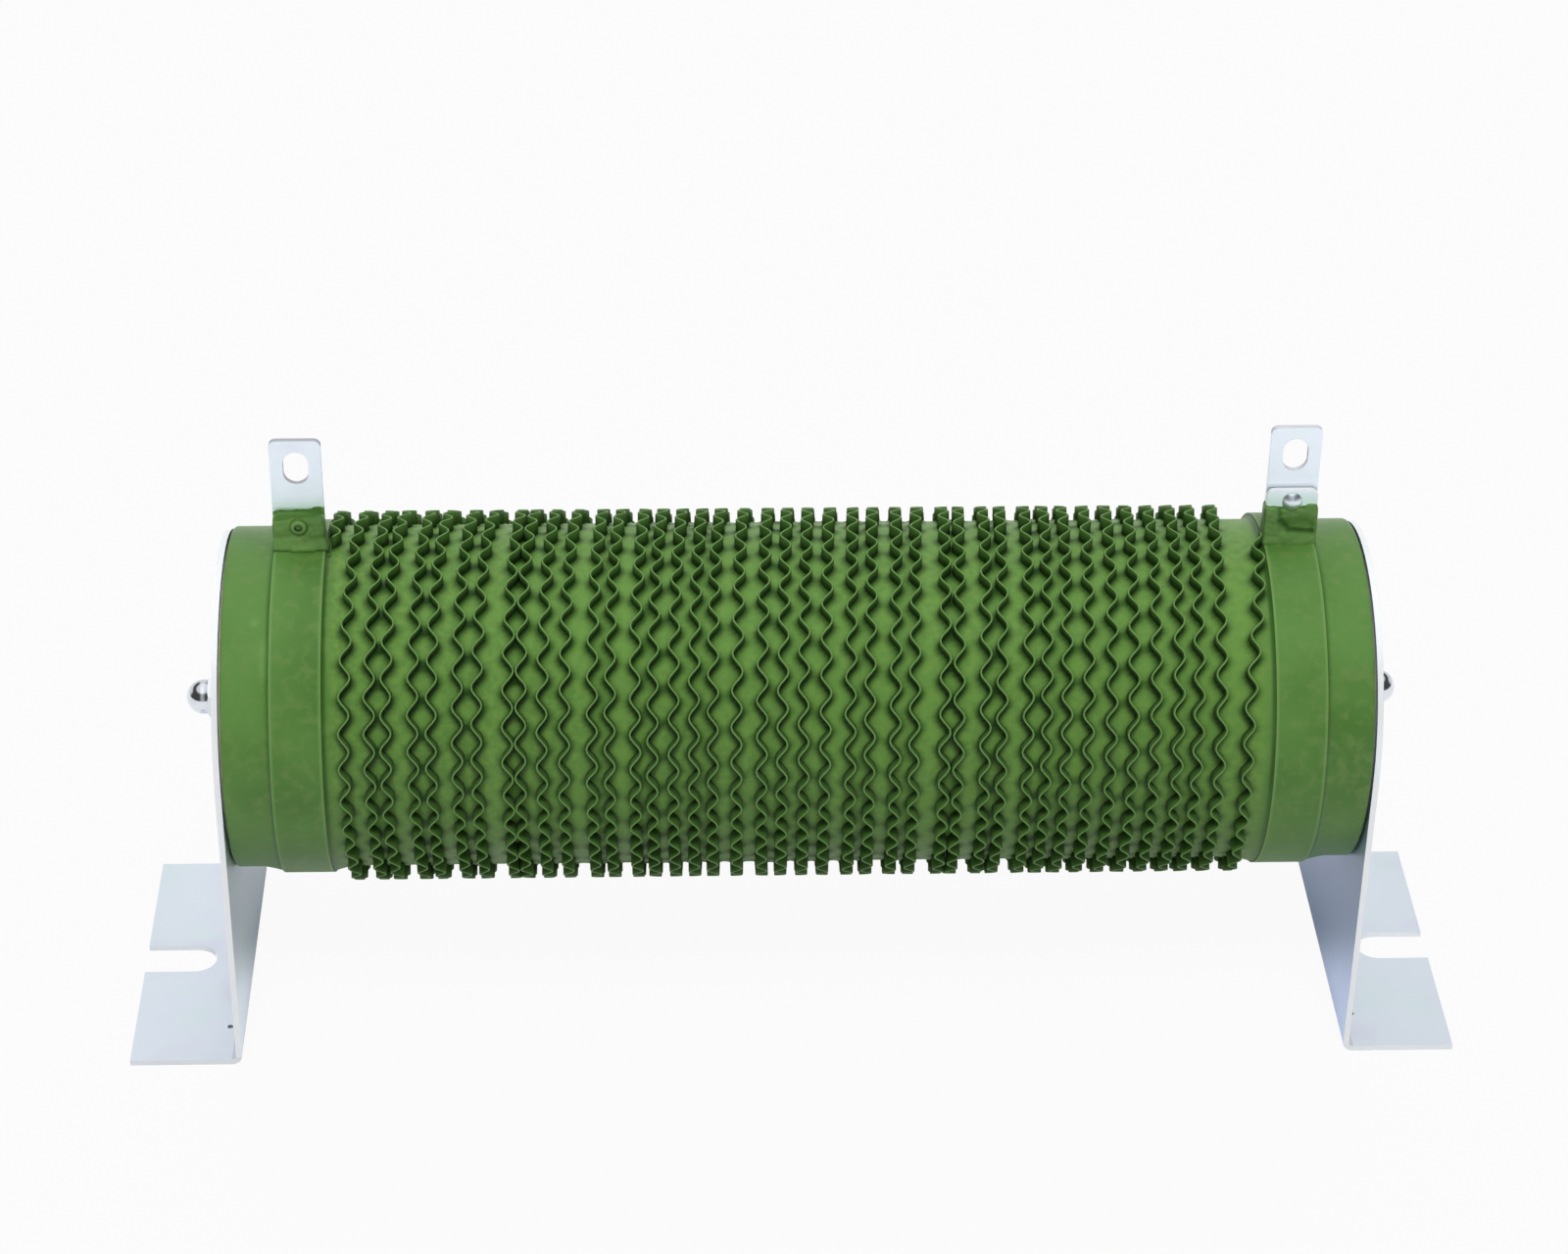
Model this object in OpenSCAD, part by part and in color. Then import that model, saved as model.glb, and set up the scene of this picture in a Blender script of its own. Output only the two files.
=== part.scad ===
// Corrugated wirewound resistor: a ceramic tube wound on edge with a wavy
// resistance ribbon, a riveted terminal band near each end, and two sheet
// metal feet clamped on by a rod through the bore.
// Millimetres. X runs along the tube, Z is up, and the origin is on the
// floor midway between the two feet.

/* [Tube] */
// Outside diameter of the ceramic tube
tube_d = 70; // [56:1:84]
// Length of the ceramic tube
tube_l = 229; // [210:1:275]
// Wall of the ceramic tube
wall = 11; // [6:0.5:14]
// Rounding of the tube's outer end edges
tube_edge_r = 1; // [0.2:0.1:2]

/* [Ribbon winding] */
// Turns of ribbon between the two terminal bands
turns = 42; // [20:1:42]
// Waves of the ribbon in one turn
waves_per_turn = 32.5; // [12:0.5:35.5]
// Height of the ribbon's crest above the tube
ribbon_h = 3; // [1.5:0.1:5]
// Swing of the crest to each side of its mean line
wave_swing = 1.1; // [0.4:0.05:1.5]
// Half width of the ribbon's straight root
root_half_w = 0.5; // [0.2:0.05:0.8]
// Extra sideways step where the ribbon leaves the left band
lead_in = 1; // [0:0.1:3]
// Extra sideways step where the ribbon runs out to the right band
lead_out = 3.9; // [0:0.1:8]
// Share of a turn in which the ribbon leaves the left band
lead_in_turn = 0.1; // [0.05:0.01:0.5]
// Share of a turn in which the ribbon runs out to the right band
lead_out_turn = 0.45; // [0.1:0.01:0.9]

/* [Terminal bands] */
// Width of the band strip and of its lug
strip_w = 10.3; // [6:0.1:16]
// Thickness of the band strip
strip_t = 1.2; // [0.6:0.1:2]
// Inside radius of the bends where the strip turns up
strip_bend_r = 1.2; // [0.5:0.1:2.5]
// Distance from the tube's end to the band
band_inset = 9.7; // [4:0.1:20]
// Height of the left lug above the tube
left_lug_h = 25.4; // [22:0.1:36]
// Height of the right lug above the tube
right_lug_h = 27; // [24:0.1:38]
// Width of the oval terminal hole
lug_hole_w = 5; // [3:0.1:6.5]
// Height of the oval terminal hole
lug_hole_h = 7.2; // [6.5:0.1:9]
// Distance from the lug's top edge to the centre of its hole
lug_hole_drop = 6.2; // [5.5:0.1:8]
// Rounding of the corners of the lugs and flanges
lug_corner_r = 1.4; // [0.3:0.1:2.5]
// Height of the left rivet above the tube
left_rivet_h = 6.6; // [5.5:0.1:9]
// Height of the right rivet above the tube
right_rivet_h = 10.6; // [5.5:0.1:11]
// Distance from the rivet's centre to the top of the short flange
flange_edge = 2.7; // [2.4:0.1:4]
// Diameter of the rivet's shank
rivet_d = 2.2; // [1.5:0.1:3]
// Diameter of the rivet's domed head
rivet_head_d = 4.2; // [3.4:0.1:5]
// Height of the rivet's domed head
rivet_head_h = 1.1; // [0.6:0.1:1.6]

/* [Feet] */
// Thickness of the foot's sheet metal
sheet_t = 1.2; // [0.8:0.1:3]
// Set-back of the leg's edge from the tube's surface
foot_inset = 0.5; // [0:0.1:3]
// Length of the foot, out from the leg
foot_l = 22; // [19:0.5:40]
// Inside radius of the bend between leg and foot
foot_bend_r = 1; // [0.5:0.1:3]
// Height of the tube's axis above the floor
axis_h = 69; // [58:1:110]
// Width of the open fixing slot
slot_w = 9; // [5:0.5:14]
// Depth of the open fixing slot
slot_l = 15; // [8:0.5:17]
// Diameter of the small tool mark beside the bend
mark_d = 1.2; // [0.6:0.1:2]
// Distance from the foot's middle to the tool mark
mark_y = 23.5; // [10:0.5:24]

/* [Clamping rod] */
// Diameter of the through rod
rod_d = 5; // [4:0.5:6]
// Width across flats of the cap nuts
nut_flats = 8; // [7.5:0.5:11]
// Height of the hexagon of a cap nut
nut_hex_h = 3.2; // [2.5:0.1:5]
// Diameter of the dome of a cap nut
dome_d = 7.2; // [6.6:0.1:7.8]
// Straight length of the dome below its round end
dome_neck = 1; // [0.5:0.1:3]
// Depth of the thread in a cap nut
nut_thread = 5; // [3.5:0.1:5.2]
// Outside diameter of the plain washers
washer_d = 10; // [9:0.5:16]
// Thickness of the plain washers
washer_t = 1; // [0.5:0.1:2]
// Thickness of the end cushions between tube and leg
cushion_t = 0.5; // [0.3:0.1:2]
// Set-back of the cushion's rim from the tube's surface
cushion_inset = 3; // [2:0.1:5]

/* [Fits] */
// Gap between the tube and a band round it
band_gap = 0.1; // [0.05:0.01:0.3]
// Gap between the tube and the root of the ribbon
ribbon_gap = 0.05; // [0.02:0.01:0.15]
// Gap between a ribbon end and its band
lead_gap = 0.2; // [0.1:0.05:0.3]
// Gap between the lug and the short flange in front of it
pinch_gap = 0.1; // [0.05:0.05:0.3]
// Clearance all round the rod in the legs and washers
rod_gap = 0.25; // [0.1:0.05:0.5]
// Clearance all round the rod in a nut's thread
thread_gap = 0.05; // [0.02:0.01:0.1]
// Gap between the rod's end and the bottom of a nut's thread
rod_end_gap = 0.2; // [0.1:0.05:0.5]
// Clearance all round a rivet in its holes
rivet_gap = 0.05; // [0.02:0.01:0.1]

/* [Hidden] */
$fn = 96;
eps = 0.01;
tube_r = tube_d / 2;
bore_d = tube_d - 2 * wall;
foot_w = tube_d - 2 * foot_inset;
band_r = tube_r + band_gap;
band_mid = tube_l / 2 - band_inset - strip_w / 2;
leg_in = tube_l / 2 + cushion_t;
leg_out = leg_in + sheet_t;
foot_out = leg_out + foot_l;
rod_l = 2 * (leg_out + washer_t + nut_thread - rod_end_gap);
green = [0.3, 0.5, 0.22];
dark_green = [0.22, 0.4, 0.16];
zinc = [0.8, 0.85, 0.9];
steel = [0.65, 0.67, 0.7];
mica = [0.85, 0.82, 0.74];

// The strip's bend is an arc tangent to the band's outside and to the flange
bend_y = pinch_gap / 2 + strip_t + strip_bend_r;
bend_z = sqrt(pow(band_r + strip_t + strip_bend_r, 2) - pow(bend_y, 2));
bend_angle = atan2(bend_y, bend_z);

// The ribbon's mean line runs from band to band, with a quicker step at each end
waves = round(turns * waves_per_turn);
crest_r = tube_r + ribbon_h;
root_r = (tube_r + ribbon_gap) / cos(180 / waves_per_turn);
ribbon_end_x = band_mid - strip_w / 2 - lead_gap - wave_swing;
pitch = (2 * ribbon_end_x - lead_in - lead_out) / turns;

// Places a piece on the tube's axis, which runs along X
module on_axis() {
    translate([0, 0, axis_h]) children();
}

// Turns a piece made along Z so that it points along X
module along_x() {
    rotate([0, 90, 0]) children();
}

// A flat ring about the X axis, from x to x + t
module ring_x(x, t, outer_d, inner_d) {
    translate([x, 0, 0]) along_x() difference() {
        cylinder(d = outer_d, h = t);
        translate([0, 0, -eps]) cylinder(d = inner_d, h = t + 2 * eps);
    }
}

// Makes a piece for the right end, or its mirror image for the left end
module at_end(side) {
    mirror([side == "left" ? 1 : 0, 0, 0]) children();
}

module ceramic_tube() {
    color(green) on_axis() along_x() rotate_extrude() difference() {
        translate([bore_d / 2, -tube_l / 2]) square([tube_r - bore_d / 2, tube_l]);
        for (end = [-1, 1]) tube_edge_cut(end);
    }
}

// What the rounding takes off one outer edge of the tube's section
module tube_edge_cut(end) {
    corner = [tube_r - tube_edge_r, end * (tube_l / 2 - tube_edge_r)];
    difference() {
        translate(corner + [0, end > 0 ? 0 : -2 * tube_edge_r]) square(2 * tube_edge_r);
        translate(corner) circle(r = tube_edge_r);
    }
}

// Smooth step from 0 to 1
function ease(t) = let (c = min(max(t, 0), 1)) c * c * (3 - 2 * c);

// Mean line of the ribbon after a number of turns from its left end
function ribbon_x(turn) = -ribbon_end_x + pitch * turn + lead_in * ease(turn / lead_in_turn)
    + lead_out * ease((turn - turns + lead_out_turn) / lead_out_turn);

// A point of the ribbon: it starts on top, and runs over the back, under and up the front
function ribbon_point(wave, swing, r) = let (
        turn = wave / waves_per_turn,
        angle = 360 * turn)
    [ribbon_x(min(turn, turns)) + swing, r * sin(angle), r * cos(angle)];

// Each wave has four points: left crest and root, then right crest and root half a wave on
ribbon_points = [
    for (w = [0 : waves]) each concat(
        [ribbon_point(w, -wave_swing, crest_r), ribbon_point(w, -root_half_w, root_r)],
        w == waves ? [] : [
            ribbon_point(w + 0.5, wave_swing, crest_r),
            ribbon_point(w + 0.5, root_half_w, root_r)
        ])
];

// Two crest points and two root points in a wave give eight faces, an underside one first
function ribbon_wave_faces(w) = let (
        left = 4 * w, left_root = left + 1, right = left + 2, right_root = left + 3,
        next = left + 4, next_root = left + 5, next_right_root = left + 7,
        last = w == waves - 1)
    concat(
        [[left_root, right_root, next_root], [left_root, right, left], [left_root, next_root, right]],
        [[next_root, next, right], [right_root, left, right], [right_root, right, next]],
        last ? [] : [[right_root, next, next_right_root], [right_root, next_right_root, next_root]]);

ribbon_faces = concat(
    [for (w = [0 : waves - 1]) each ribbon_wave_faces(w)],
    [[1, 0, 3], [4 * waves - 1, 4 * waves, 4 * waves + 1]]
);

module resistance_ribbon() {
    color(dark_green) on_axis() polyhedron(points = ribbon_points, faces = ribbon_faces);
}

// Section of the band across the tube: a ring whose ends turn up, a long lug
// behind and a short flange in front
module band_section(lug_h, flange_h) {
    difference() {
        circle(r = band_r + strip_t);
        circle(r = band_r);
        polygon([[0, 0], 2 * bend_z * [-sin(bend_angle), 1], 2 * bend_z * [sin(bend_angle), 1]]);
    }
    for (side = [-1, 1]) mirror([side > 0 ? 0 : 1, 0]) {
        strip_bend();
        translate([pinch_gap / 2, bend_z])
            square([strip_t, tube_r - bend_z + (side > 0 ? lug_h : flange_h)]);
    }
}

// The arc that joins the ring to an upright end
module strip_bend() {
    reach = 2 * (strip_bend_r + strip_t);
    translate([bend_y, bend_z]) intersection() {
        difference() {
            circle(r = strip_bend_r + strip_t);
            circle(r = strip_bend_r);
        }
        polygon([
            [0, 0], [-reach, 0], [-reach, -reach],
            reach * [-tan(bend_angle), -1]
        ]);
    }
}

// A square corner less its rounding, cut right through an upright end
module corner_cut(top) {
    for (side = [-1, 1]) mirror([side > 0 ? 0 : 1, 0]) difference() {
        translate([strip_w / 2 - lug_corner_r, top - lug_corner_r]) square(2 * lug_corner_r);
        translate([strip_w / 2 - lug_corner_r, top - lug_corner_r]) circle(r = lug_corner_r);
    }
}

// Oval made of two round ends and a straight middle
module oval(w, h) {
    straight = h - w;
    for (end = [-1, 1]) translate([0, end * straight / 2]) circle(d = w);
    square([w, straight], center = true);
}

// Cuts a flat outline through the strip, from y = low to y = high
module cut_y(low, high) {
    translate([0, high, 0]) rotate([90, 0, 0]) linear_extrude(high - low) children();
}

module terminal_band(side, lug_h, rivet_h) {
    flange_h = rivet_h + flange_edge;
    behind = pinch_gap / 2 + strip_t + 1;
    color(green) on_axis() at_end(side) translate([band_mid, 0, 0]) difference() {
        rotate([90, 0, 90]) linear_extrude(strip_w, center = true) band_section(lug_h, flange_h);
        cut_y(0, behind) corner_cut(tube_r + lug_h);
        cut_y(-behind, 0) corner_cut(tube_r + flange_h);
        cut_y(0, behind) translate([0, tube_r + lug_h - lug_hole_drop]) oval(lug_hole_w, lug_hole_h);
        translate([0, behind, tube_r + rivet_h]) rotate([90, 0, 0])
            cylinder(d = rivet_d + 2 * rivet_gap, h = 2 * behind);
    }
}

// A shank with a domed head against each outer face of the two upright ends
module band_rivet(side, rivet_h) {
    grip = pinch_gap + 2 * strip_t;
    color(zinc) on_axis() at_end(side) translate([band_mid, 0, tube_r + rivet_h]) {
        rotate([90, 0, 0]) cylinder(d = rivet_d, h = grip + 2 * eps, center = true);
        for (face = [0, 180]) rotate([0, 0, face]) translate([0, -grip / 2, 0]) rivet_head();
    }
}

// Cap of a sphere that has the head's diameter and height
module rivet_head() {
    ball_r = (pow(rivet_head_d / 2, 2) + pow(rivet_head_h, 2)) / (2 * rivet_head_h);
    rotate([90, 0, 0]) intersection() {
        translate([0, 0, rivet_head_h - ball_r]) sphere(r = ball_r);
        cylinder(d = rivet_head_d + 1, h = rivet_head_h + 1);
    }
}

// Bent sheet: a round-topped leg against the tube's end, and a slotted foot outside it
module foot_bracket(side) {
    upright = sheet_t + foot_bend_r;
    foot_start = leg_out + foot_bend_r;
    color(zinc) at_end(side) difference() {
        union() {
            translate([leg_in, 0, axis_h]) along_x() cylinder(d = foot_w, h = sheet_t);
            translate([leg_in, -foot_w / 2, upright]) cube([sheet_t, foot_w, axis_h - upright]);
            translate([foot_start, 0, upright]) rotate([90, 0, 0]) foot_bend();
            translate([foot_start, -foot_w / 2, 0]) cube([foot_out - foot_start, foot_w, sheet_t]);
        }
        translate([foot_out - slot_l + slot_w / 2, 0, -1]) cylinder(d = slot_w, h = sheet_t + 2);
        translate([foot_out - slot_l + slot_w / 2, -slot_w / 2, -1])
            cube([slot_l, slot_w, sheet_t + 2]);
        translate([leg_in - 1, 0, axis_h]) along_x() cylinder(d = rod_d + 2 * rod_gap, h = sheet_t + 2);
        translate([foot_start + mark_d, -mark_y, sheet_t / 2]) cylinder(d = mark_d, h = sheet_t);
    }
}

// Quarter of a ring that joins the leg to the foot
module foot_bend() {
    outer = sheet_t + foot_bend_r;
    linear_extrude(foot_w, center = true) intersection() {
        difference() {
            circle(r = outer);
            circle(r = foot_bend_r);
        }
        translate([-outer - 1, -outer - 1]) square(outer + 1);
    }
}

module end_cushion(side) {
    color(mica) on_axis() at_end(side)
        ring_x(tube_l / 2, cushion_t, tube_d - 2 * cushion_inset, bore_d);
}

module through_rod() {
    color(steel) on_axis() along_x() cylinder(d = rod_d, h = rod_l, center = true);
}

module plain_washer(side) {
    color(steel) on_axis() at_end(side) ring_x(leg_out, washer_t, washer_d, rod_d + 2 * rod_gap);
}

// Hexagon with a domed cap over the rod's end
module cap_nut(side) {
    color(steel) on_axis() at_end(side) translate([leg_out + washer_t, 0, 0]) along_x() difference() {
        union() {
            intersection() {
                cylinder(d = nut_flats / cos(30), h = nut_hex_h, $fn = 6);
                nut_chamfer();
            }
            cylinder(d = dome_d, h = nut_hex_h + dome_neck);
            translate([0, 0, nut_hex_h + dome_neck]) sphere(d = dome_d);
        }
        translate([0, 0, -eps]) cylinder(d = rod_d + 2 * thread_gap, h = nut_thread + eps);
    }
}

// Turned shape that takes the corners off the outer face of a nut's hexagon
module nut_chamfer() {
    corner = nut_flats / cos(30) / 2;
    flat = nut_flats / 2;
    rotate_extrude() polygon([
        [0, 0], [corner, 0], [corner, nut_hex_h - (corner - flat) / 2], [flat, nut_hex_h], [0, nut_hex_h]
    ]);
}

ceramic_tube();
resistance_ribbon();
terminal_band("left", left_lug_h, left_rivet_h);  // left_terminal_band
terminal_band("right", right_lug_h, right_rivet_h);  // right_terminal_band
band_rivet("left", left_rivet_h);  // left_band_rivet
band_rivet("right", right_rivet_h);  // right_band_rivet
foot_bracket("left");  // left_foot_bracket
foot_bracket("right");  // right_foot_bracket
end_cushion("left");  // left_end_cushion
end_cushion("right");  // right_end_cushion
through_rod();
plain_washer("left");  // left_plain_washer
plain_washer("right");  // right_plain_washer
cap_nut("left");  // left_cap_nut
cap_nut("right");  // right_cap_nut
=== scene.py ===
# %% [markdown]
# # A corrugated wirewound resistor
# A ceramic tube carries a wavy resistance ribbon that is wound on its edge. A riveted band
# with a lug grips the tube near each end, and two bent sheet feet are clamped on by a rod
# through the bore. The CAD model gives the true sizes. This lesson loads it as a fixed frame
# and dresses it, with finer meshes where the eye needs them and a finish for every piece.

# %% Load the packed model
import bisect
import math

import bmesh
import bpy
from mathutils import Matrix, Vector, noise


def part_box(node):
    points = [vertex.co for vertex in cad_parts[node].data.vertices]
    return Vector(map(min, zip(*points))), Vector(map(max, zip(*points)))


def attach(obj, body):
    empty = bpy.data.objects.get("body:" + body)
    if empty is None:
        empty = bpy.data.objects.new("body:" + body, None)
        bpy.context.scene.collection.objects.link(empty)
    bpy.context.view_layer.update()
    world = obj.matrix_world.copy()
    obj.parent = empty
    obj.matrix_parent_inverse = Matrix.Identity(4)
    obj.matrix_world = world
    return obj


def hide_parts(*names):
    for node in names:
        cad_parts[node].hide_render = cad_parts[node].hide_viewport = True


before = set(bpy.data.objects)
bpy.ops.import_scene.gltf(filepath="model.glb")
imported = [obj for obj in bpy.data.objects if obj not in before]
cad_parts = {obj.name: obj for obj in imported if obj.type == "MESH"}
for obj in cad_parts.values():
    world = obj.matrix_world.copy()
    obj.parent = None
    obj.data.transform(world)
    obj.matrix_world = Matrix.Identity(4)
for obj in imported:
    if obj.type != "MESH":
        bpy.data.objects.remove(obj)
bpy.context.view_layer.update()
MM = 0.001

# %% [markdown]
# ## Sizes from the frame
# A new mesh fits without any trial when its sizes come from the model that it stands on. Here
# a node's box gives the tube, the winding and the bands in millimetres. Typing the numbers
# again would work too, until someone changes the CAD model. Two helpers follow: one turns an
# angle about the tube into a point, and one eases a value from 0 to 1.


# %% Read the driving sizes
def box_mm(node):
    """Lowest and highest corner of a CAD node, in millimetres."""
    low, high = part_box(node)
    return low / MM, high / MM


tube_low, tube_high = box_mm("ceramic_tube")
TUBE_R = (tube_high.z - tube_low.z) / 2
AXIS_Z = (tube_high.z + tube_low.z) / 2
TUBE_END = tube_high.x
ribbon_low, ribbon_high = box_mm("resistance_ribbon")
CREST_R = min(ribbon_high.z - AXIS_Z, ribbon_high.y)
RIBBON_END = min(-ribbon_low.x, ribbon_high.x)
band_low, band_high = box_mm("right_terminal_band")
BAND_IN = band_low.x
BAND_OUT = band_high.x
BAND_MID = (BAND_IN + BAND_OUT) / 2
BAND_HALF = (BAND_OUT - BAND_IN) / 2
print(f"tube radius {TUBE_R:.2f}, axis {AXIS_Z:.2f} up, crest radius {CREST_R:.2f} mm")
print(f"winding to {RIBBON_END:.2f}, band from {BAND_IN:.2f} to {BAND_OUT:.2f} mm")


# %% Places round the tube
def round_tube(x, radius, angle):
    """A point about the tube's axis in mm. Angle 0 is on top, a quarter turn is behind."""
    return Vector((x, radius * math.sin(angle), AXIS_Z + radius * math.cos(angle)))


def ease(share):
    """Smooth step from 0 to 1."""
    clipped = min(max(share, 0.0), 1.0)
    return clipped * clipped * (3 - 2 * clipped)


print("behind the tube:", tuple(round_tube(0, TUBE_R, math.pi / 2)))

# %% [markdown]
# ## One way to write a finish
# A finish is a graph of nodes, and long graphs are hard to read when each link is a line of
# code. Here a small class wraps a socket, so that sums on masks are written as Python sums.
# Every other node comes from one method, which sets the node's own settings first and then
# its sockets. Colours go through Mix nodes, because a Math node would turn them grey.


# %% Sockets that can be added and multiplied
class Wire:
    """One output socket of a node graph, for use in Python expressions."""

    def __init__(self, graph, socket):
        self.graph = graph
        self.socket = socket

    def maths(self, operation, first, second=0.0):
        return self.graph.node("ShaderNodeMath", {"operation": operation}, {0: first, 1: second})

    def __add__(self, other):
        return self.maths("ADD", self, other)

    def __radd__(self, other):
        return self.maths("ADD", other, self)

    def __sub__(self, other):
        return self.maths("SUBTRACT", self, other)

    def __rsub__(self, other):
        return self.maths("SUBTRACT", other, self)

    def __mul__(self, other):
        return self.maths("MULTIPLY", self, other)

    def __rmul__(self, other):
        return self.maths("MULTIPLY", other, self)

    def __abs__(self):
        return self.maths("ABSOLUTE", self)


print("a wire takes +, - and * from either side, and abs")


# %% One method for every node
class Graph:
    """The nodes of one material, or of the world."""

    def __init__(self, owner):
        owner.use_nodes = True
        self.owner = owner
        self.tree = owner.node_tree

    def node(self, kind, settings=None, sockets=None, out=0):
        """A new node. The settings come first, because some of them change the sockets."""
        made = self.tree.nodes.new(kind)
        for key, value in (settings or {}).items():
            setattr(made, key, value)
        for key, value in (sockets or {}).items():
            self.join(made.inputs[key], value)
        return Wire(self, made.outputs[out])

    def join(self, socket, value):
        """Links a wire to a socket, or sets the socket to a number or a colour."""
        if isinstance(value, Wire):
            self.tree.links.new(value.socket, socket)
        else:
            socket.default_value = value

    def surface(self, sockets):
        shader = self.tree.nodes["Principled BSDF"]
        for key, value in sockets.items():
            self.join(shader.inputs[key], value)

    def place(self, kind="Object"):
        return self.node("ShaderNodeTexCoord", out=kind)

    def axis(self, place, letter):
        return self.node("ShaderNodeSeparateXYZ", None, {0: place}, letter)

    def stretched(self, place, factors):
        return self.node("ShaderNodeVectorMath", {"operation": "MULTIPLY"}, {0: place, 1: factors})

    def mark(self, name):
        """A number that the mesh carries on its points or faces, and 0 where it has none."""
        return self.node("ShaderNodeAttribute", {"attribute_name": name}, out="Fac")

    def mix(self, share, first, second):
        return self.node("ShaderNodeMix", {"data_type": "RGBA"}, {0: share, 6: first, 7: second}, 2)

    def step(self, value, low, high):
        """A smooth mask that rises from 0 at low to 1 at high."""
        settings = {"interpolation_type": "SMOOTHSTEP"}
        return self.node("ShaderNodeMapRange", settings, {0: value, 1: low, 2: high})

    def cloud(self, place, size_mm, detail=2.0):
        """Soft noise whose lumps are about that many millimetres across."""
        sockets = {"Vector": place, "Scale": 1 / (size_mm * MM), "Detail": detail}
        return self.node("ShaderNodeTexNoise", None, sockets)

    def bump(self, height, depth_mm, strength):
        sockets = {"Strength": strength, "Distance": depth_mm * MM, "Height": height}
        return self.node("ShaderNodeBump", None, sockets)


print("words for nodes:", ", ".join(word for word in vars(Graph) if not word.startswith("_")))


# %% A new finish and its colours
def new_finish(name):
    return Graph(bpy.data.materials.new(name))


def srgb(red, green, blue):
    """A colour as the screen shows it, 0 to 255, as the linear colour that a node takes."""
    parts = [c / 255 for c in (red, green, blue)]
    linear = [c / 12.92 if c <= 0.04045 else ((c + 0.055) / 1.055) ** 2.4 for c in parts]
    return (*linear, 1.0)


print("mid green:", [round(c, 3) for c in srgb(96, 138, 72)])

# %% [markdown]
# ## The green coat
# The whole winding was dipped in a green silicone enamel and baked. It is a little cloudy, has
# fine orange peel, and shines softly. One flat colour would look like plastic, so it is mixed
# from noises of three sizes: a wide cloud, small flecks and the fine peel. Cloud and flecks move
# the roughness too, and flecks and peel make the bump. A painted picture could do the same, but
# noise needs no flat layout of the mesh and has no seams.

# %% The coat before any wear
COAT_DEEP = srgb(74, 116, 47)
COAT_PALE = srgb(92, 136, 64)
COAT_OLIVE = srgb(108, 138, 74)
CLOUD_MM = 26
CLOUD_RANGE = (0.3, 0.7)
CLOUD_ROUGH = 0.10
FINE_DETAIL = 3
FLECK_MM = 2.4
FLECK_RANGE = (0.45, 0.7)
FLECK_SHARE = 0.5
FLECK_ROUGH = 0.12
FLECK_HEIGHT = 0.4
PEEL_MM = 0.9
PEEL_HEIGHT = 0.6
COAT_ROUGH = 0.36


def coat_parts(graph, place):
    """Colour, roughness and height of the enamel, before any wear."""
    cloud = graph.step(graph.cloud(place, CLOUD_MM), *CLOUD_RANGE)
    fleck = graph.cloud(place, FLECK_MM, FINE_DETAIL)
    peel = graph.cloud(place, PEEL_MM)
    colour = graph.mix(cloud, COAT_DEEP, COAT_PALE)
    colour = graph.mix(graph.step(fleck, *FLECK_RANGE) * FLECK_SHARE, colour, COAT_OLIVE)
    rough = COAT_ROUGH + CLOUD_ROUGH * cloud + FLECK_ROUGH * fleck
    height = PEEL_HEIGHT * peel + FLECK_HEIGHT * fleck
    return colour, rough, height


print("coat roughness", COAT_ROUGH, "to", round(COAT_ROUGH + CLOUD_ROUGH + FLECK_ROUGH, 2))

# %% [markdown]
# Two numbers on the points of a mesh steer the coat, and an Attribute node reads each. The tube
# has the painted shading: 1 at the root of the ribbon, where shade is painted into the colour, 0
# in the open, and below 0 on drips and lumps, which get a painted highlight. The ribbon has the
# crest: 0 at the root, 1 on the thin top edge, and below 0 in the pit of a rivet. Its walls get
# painted shade towards the root. Its top edge is palest, partly for the thin coat and partly as a
# painted highlight, and the pit gets a painted shadow. Light alone would shade the roots too, but
# less than the painted shade does. Pale dust lies between the turns, and a little sheen on the
# shader shows it at grazing angles.

# %% The coat on the tube
COAT_SHADE = srgb(24, 58, 6)
# The palest coat colour, for painted highlights on edges, crests, drips and lumps.
COAT_HIGHLIGHT = srgb(116, 156, 88)
COAT_DUSTY = srgb(107, 149, 65)
LINE_SOFT = 0.1
GROOVE_W = 1.1
GROOVE_SHADE = 0.5
DUST_FADE = 3
DUST_MM = 1.6
DUST_RANGE = (0.35, 0.65)
DUST_LEAST = 0.45
DUST_MORE = 0.5


def band_side(graph, place):
    """How far a place is from the tube's middle, and from the middle of its band, in metres."""
    far = abs(graph.axis(place, "X"))
    return far, abs(far - BAND_MID * MM)


tube_coat = new_finish("tube_coat")
place = tube_coat.place()
colour, rough, height = coat_parts(tube_coat, place)
far, from_band = band_side(tube_coat, place)
# Painted shade: a darker line on the tube beside each band's edge, where the band's step shades the
# corner.
beside = tube_coat.step(from_band, (BAND_HALF - LINE_SOFT) * MM, (BAND_HALF + LINE_SOFT) * MM)
beyond = tube_coat.step(from_band, (BAND_HALF + LINE_SOFT) * MM, (BAND_HALF + GROOVE_W) * MM)
wound = 1 - tube_coat.step(far, (BAND_IN - DUST_FADE) * MM, BAND_IN * MM)
grit = tube_coat.step(tube_coat.cloud(place, DUST_MM, FINE_DETAIL), *DUST_RANGE)
colour = tube_coat.mix(wound * (DUST_LEAST + DUST_MORE * grit), colour, COAT_DUSTY)
colour = tube_coat.mix((beside - beyond) * GROOVE_SHADE, colour, COAT_SHADE)
print("dust on the winding:", DUST_LEAST, "to", DUST_LEAST + DUST_MORE)

# %% Its painted shading and its shine
COAT_GLOSS = 0.3
COAT_SHEEN = 0.05
COAT_BUMP_MM = 0.12
COAT_BUMP = 0.5
SHADING_ROUGH = 0.15
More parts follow.
